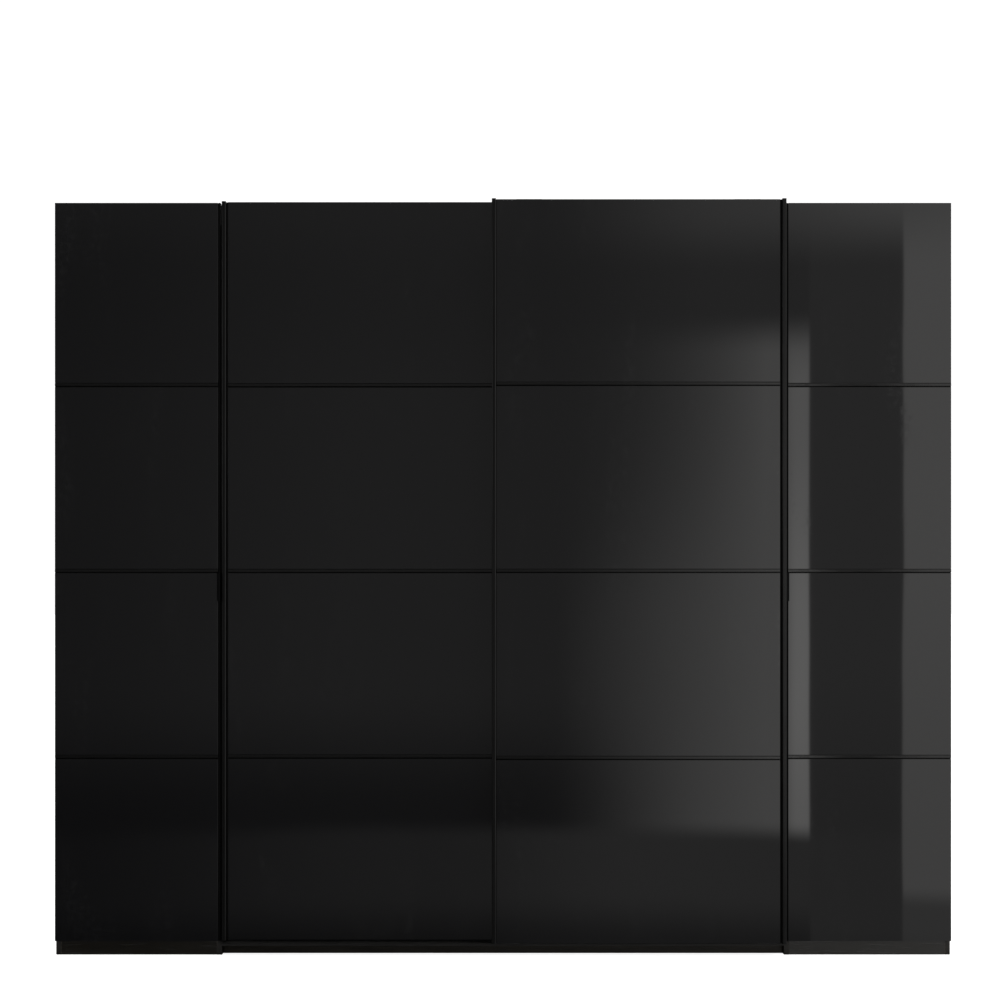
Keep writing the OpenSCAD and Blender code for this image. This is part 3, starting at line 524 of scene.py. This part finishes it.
# material, edge rounding in metres
LOOKS = {
    "side_panel_left": (LEFT_WALL, 0.0006), "side_panel_right": (RIGHT_WALL, 0.0006),
    "partition_left": (RIGHT_WALL, 0.0006), "partition_right": (LEFT_WALL, 0.0006),
    "centre_partition": (LINEN, 0.0006),
    "side_top_panels": (TOP, 0.0006), "centre_top_panel": (TOP, 0.0006),
    "side_base_panels": (LINEN, 0.0006), "centre_base_panel": (LINEN, 0.0006),
    "back_panels": (BACKS, 0.0002), "closing_fin": (EDGE_Z, 0.0002),
    "side_plinths": (PLINTH_PAINTED_SHADE, 0.0006), "centre_plinth": (KICKBOARD_PAINTED_SHADE, 0.0006),
    "plinth_bearers": (WOOD_X, 0.0006),
    "shelves_left": (LINEN, 0.0006), "shelves_right": (LINEN, 0.0006), "hat_shelves": (LINEN, 0.0006),
    "clothes_rails": (CHROME, 0.0), "rail_brackets": (CHROME, 0.0003),
    "shelf_pins": (STEEL, 0.0003), "cam_locks": (STEEL, 0.0003), "levelling_feet": (PLASTIC, 0.0006),
    "wall_brackets": (STEEL, 0.0003), "screws": (STEEL, 0.0002),
    "top_track": (TRACK, 0.0003), "track_stops": (RUBBER, 0.0010), "bottom_track": (LOW_TRACK, 0.0003),
    "hinge_arms": (STEEL, 0.0003),
}
for side in ("left", "right"):
    LOOKS.update({
        f"{side}_door_panel": (DOOR, 0.0006), f"{side}_door_glass": (GLASS, 0.0005),
        f"{side}_door_trims": (TRIM_X, 0.0002), f"{side}_door_edge": (EDGE_Z, 0.0002),
        f"{side}_door_handle": (POWDER, 0.0004), f"{side}_hinge_cups": (STEEL, 0.0003),
        f"{side}_hinge_links": (STEEL, 0.0003),
    })
for door in ("rear", "front"):
    LOOKS.update({
        f"{door}_door_panel": (DOOR, 0.0006), f"{door}_door_glass": (GLASS, 0.0005),
        f"{door}_door_trims": (TRIM_X, 0.0002), f"{door}_door_strips": (BRUSHED_Z, 0.0003),
        f"{door}_door_hangers": (STEEL, 0.0003), f"{door}_door_screws": (STEEL, 0.0002),
        f"{door}_door_guides": (PLASTIC, 0.0004),
        f"{door}_wheel_left": (NYLON, 0.0004), f"{door}_wheel_right": (NYLON, 0.0004),
    })


def dress(node, material, rounding):
    """Gives a CAD node its material, smooth curved faces and slightly rounded edges."""
    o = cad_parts[node]
    o.data.materials.clear()
    o.data.materials.append(material)
    custom = o.data.attributes.get("custom_normal")
    if custom is not None:
        o.data.attributes.remove(custom)
    o.data.shade_smooth()
    weld = o.modifiers.new("weld", "WELD")
    weld.merge_threshold = 2e-6
    flat = o.modifiers.new("flat_faces", "DECIMATE")
    flat.decimate_type = "DISSOLVE"
    flat.angle_limit = math.radians(0.4)
    if rounding:
        bevel = o.modifiers.new("edges", "BEVEL")
        bevel.width = rounding
        bevel.segments = 2
        bevel.limit_method = "ANGLE"
        bevel.angle_limit = math.radians(38)
        bevel.miter_outer = "MITER_ARC"
    normals = o.modifiers.new("normals", "WEIGHTED_NORMAL")
    normals.weight = 100
    normals.keep_sharp = True


for node_name, (finish, rounding) in LOOKS.items():
    dress(node_name, finish, rounding)

# ---------------------------------------------------------------- small pieces

CORNERS = ((-1, -1), (1, -1), (1, 1), (-1, 1))


def lathe(bm, profile, centre, steps=20):
    """Turns (radius, height) points round an axis along +Y; the last point closes the crown."""
    rings = []
    for radius, height in profile[:-1]:
        ring = []
        for k in range(steps):
            a = 2 * math.pi * k / steps
            offset = Vector((radius * math.cos(a), height, radius * math.sin(a)))
            ring.append(bm.verts.new(Vector(centre) + offset))
        rings.append(ring)
    crown = bm.verts.new(Vector(centre) + Vector((0, profile[-1][1], 0)))
    bm.faces.new(rings[0])
    for low, high in zip(rings, rings[1:]):
        for k in range(steps):
            n = (k + 1) % steps
            bm.faces.new((low[k], high[k], high[n], low[n]))
    for k in range(steps):
        bm.faces.new((rings[-1][k], crown, rings[-1][(k + 1) % steps]))


def piece(name, bm, material, body, smooth=50):
    """Makes a new visual piece of a mesh, in the given material and riding on a body."""
    bmesh.ops.recalc_face_normals(bm, faces=bm.faces)
    mesh = bpy.data.meshes.new(name)
    bm.to_mesh(mesh)
    bm.free()
    mesh.materials.append(material)
    mesh.shade_smooth()
    mesh.set_sharp_from_angle(angle=math.radians(smooth))
    o = bpy.data.objects.new(name, mesh)
    scene.collection.objects.link(o)
    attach(o, body)
    return o


def bumper_pads(side, out):
    """Three domed rubber pads on the inside of a hinged door, where it meets the partition's edge."""
    low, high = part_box(f"{side}_door_panel")
    from_edge, from_end = 0.002, 0.032
    x = out * (min(abs(low[0]), abs(high[0])) + from_edge)
    profile = [(0.0042, 0.0), (0.0042, 0.0006), (0.0036, 0.0012), (0.0024, 0.0016), (0.0, 0.0017)]
    bm = bmesh.new()
    for z in (low[2] + from_end, (low[2] + high[2]) / 2, high[2] - from_end):
        lathe(bm, profile, (x, high[1], z))
    piece(f"{side}_door_bumpers", bm, RUBBER, f"{side}_door")


def back_nails():
    """Flat-headed panel nails along every cabinet board that the back panels lie on."""
    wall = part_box("back_panels")[1][1]
    side_low, side_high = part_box("side_panel_right")
    part_low, part_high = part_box("partition_right")
    top_low, top_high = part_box("centre_top_panel")
    base_low, base_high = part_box("centre_base_panel")
    board = side_high[0] - side_low[0]
    side_top = side_high[2] - board / 2
    centre_top = (top_low[2] + top_high[2]) / 2
    base = (base_low[2] + base_high[2]) / 2
    pair_x, part_in, upright_pitch, level_pitch = 0.0045, 0.0035, 0.155, 0.145
    uprights = [(pair_x, centre_top), (part_low[0] + part_in, centre_top)]
    uprights += [(part_high[0] - part_in, side_top), (side_high[0] - board / 2, side_top)]
    places = []
    for x, top in uprights:
        count = round((top - base) / upright_pitch)
        places += [(x, base + (top - base) * k / count) for k in range(count + 1)]
    for x0, x1, top in ((pair_x, part_low[0], centre_top), (part_high[0], side_high[0], side_top)):
        count = round((x1 - x0) / level_pitch)
        for k in range(1, count):
            x = x0 + (x1 - x0) * k / count
            places += [(x, base), (x, top)]
    head = [(0.0034, -0.0002), (0.0034, 0.0001), (0.0029, 0.0004), (0.0, 0.0005)]
    bm = bmesh.new()
    for x, z in places:
        for out in (-1, 1):
            lathe(bm, head, (out * x, wall, z), 12)
    piece("back_panel_nails", bm, STEEL, "cabinet")


def dust_brush():
    """Tufted brush behind the front door's inner strip, nearly touching the rear door."""
    low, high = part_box("front_door_strips")
    rear_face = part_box("rear_door_strips")[0][1]
    back = high[1]
    clear, from_edge, from_foot, from_top = 0.001, 0.0065, 0.016, 0.010
    reach = rear_face - back - clear
    tufts, foot, tip = 560, 0.0009, 0.0016
    rng = random.Random(7)
    bm = bmesh.new()
    x0 = low[0] + from_edge
    z0, z1 = low[2] + from_foot, high[2] - from_top
    carrier = [(-0.0028, 0.0), (0.0028, 0.0), (0.0022, 0.0022), (-0.0022, 0.0022)]
    ends = [[bm.verts.new((x0 + dx, back + dy, z)) for dx, dy in carrier] for z in (z0, z1)]
    bm.faces.new(ends[0])
    bm.faces.new(reversed(ends[1]))
    for k in range(4):
        n = (k + 1) % 4
        bm.faces.new((ends[0][k], ends[1][k], ends[1][n], ends[0][n]))
    for k in range(tufts):
        z = z0 + (z1 - z0) * (k + 0.5) / tufts
        lean_x, lean_z = rng.uniform(-0.0008, 0.0008), rng.uniform(-0.0010, 0.0010)
        length = reach - rng.uniform(0.0, 0.0009)
        base = [bm.verts.new((x0 + a * foot, back + 0.0015, z + b * foot)) for a, b in CORNERS]
        x_tip, z_tip = x0 + lean_x, z + lean_z
        end = [bm.verts.new((x_tip + a * tip, back + length, z_tip + b * tip)) for a, b in CORNERS]
        bm.faces.new(base)
        bm.faces.new(reversed(end))
        for j in range(4):
            n = (j + 1) % 4
            bm.faces.new((base[j], end[j], end[n], base[n]))
    piece("front_door_dust_brush", bm, PLASTIC, "front_door", 30)


bumper_pads("left", -1)
bumper_pads("right", 1)
back_nails()
dust_brush()

# ---------------------------------------------------------------- stage

bm = bmesh.new()
bmesh.ops.create_circle(bm, cap_ends=True, segments=96, radius=60.0)
mesh = bpy.data.meshes.new("studio_floor")
bm.to_mesh(mesh)
bm.free()
floor = bpy.data.objects.new("studio_floor", mesh)
floor.location.z = -0.0002
floor.data.materials.append(studio_floor())
floor.visible_glossy = False
scene.collection.objects.link(floor)
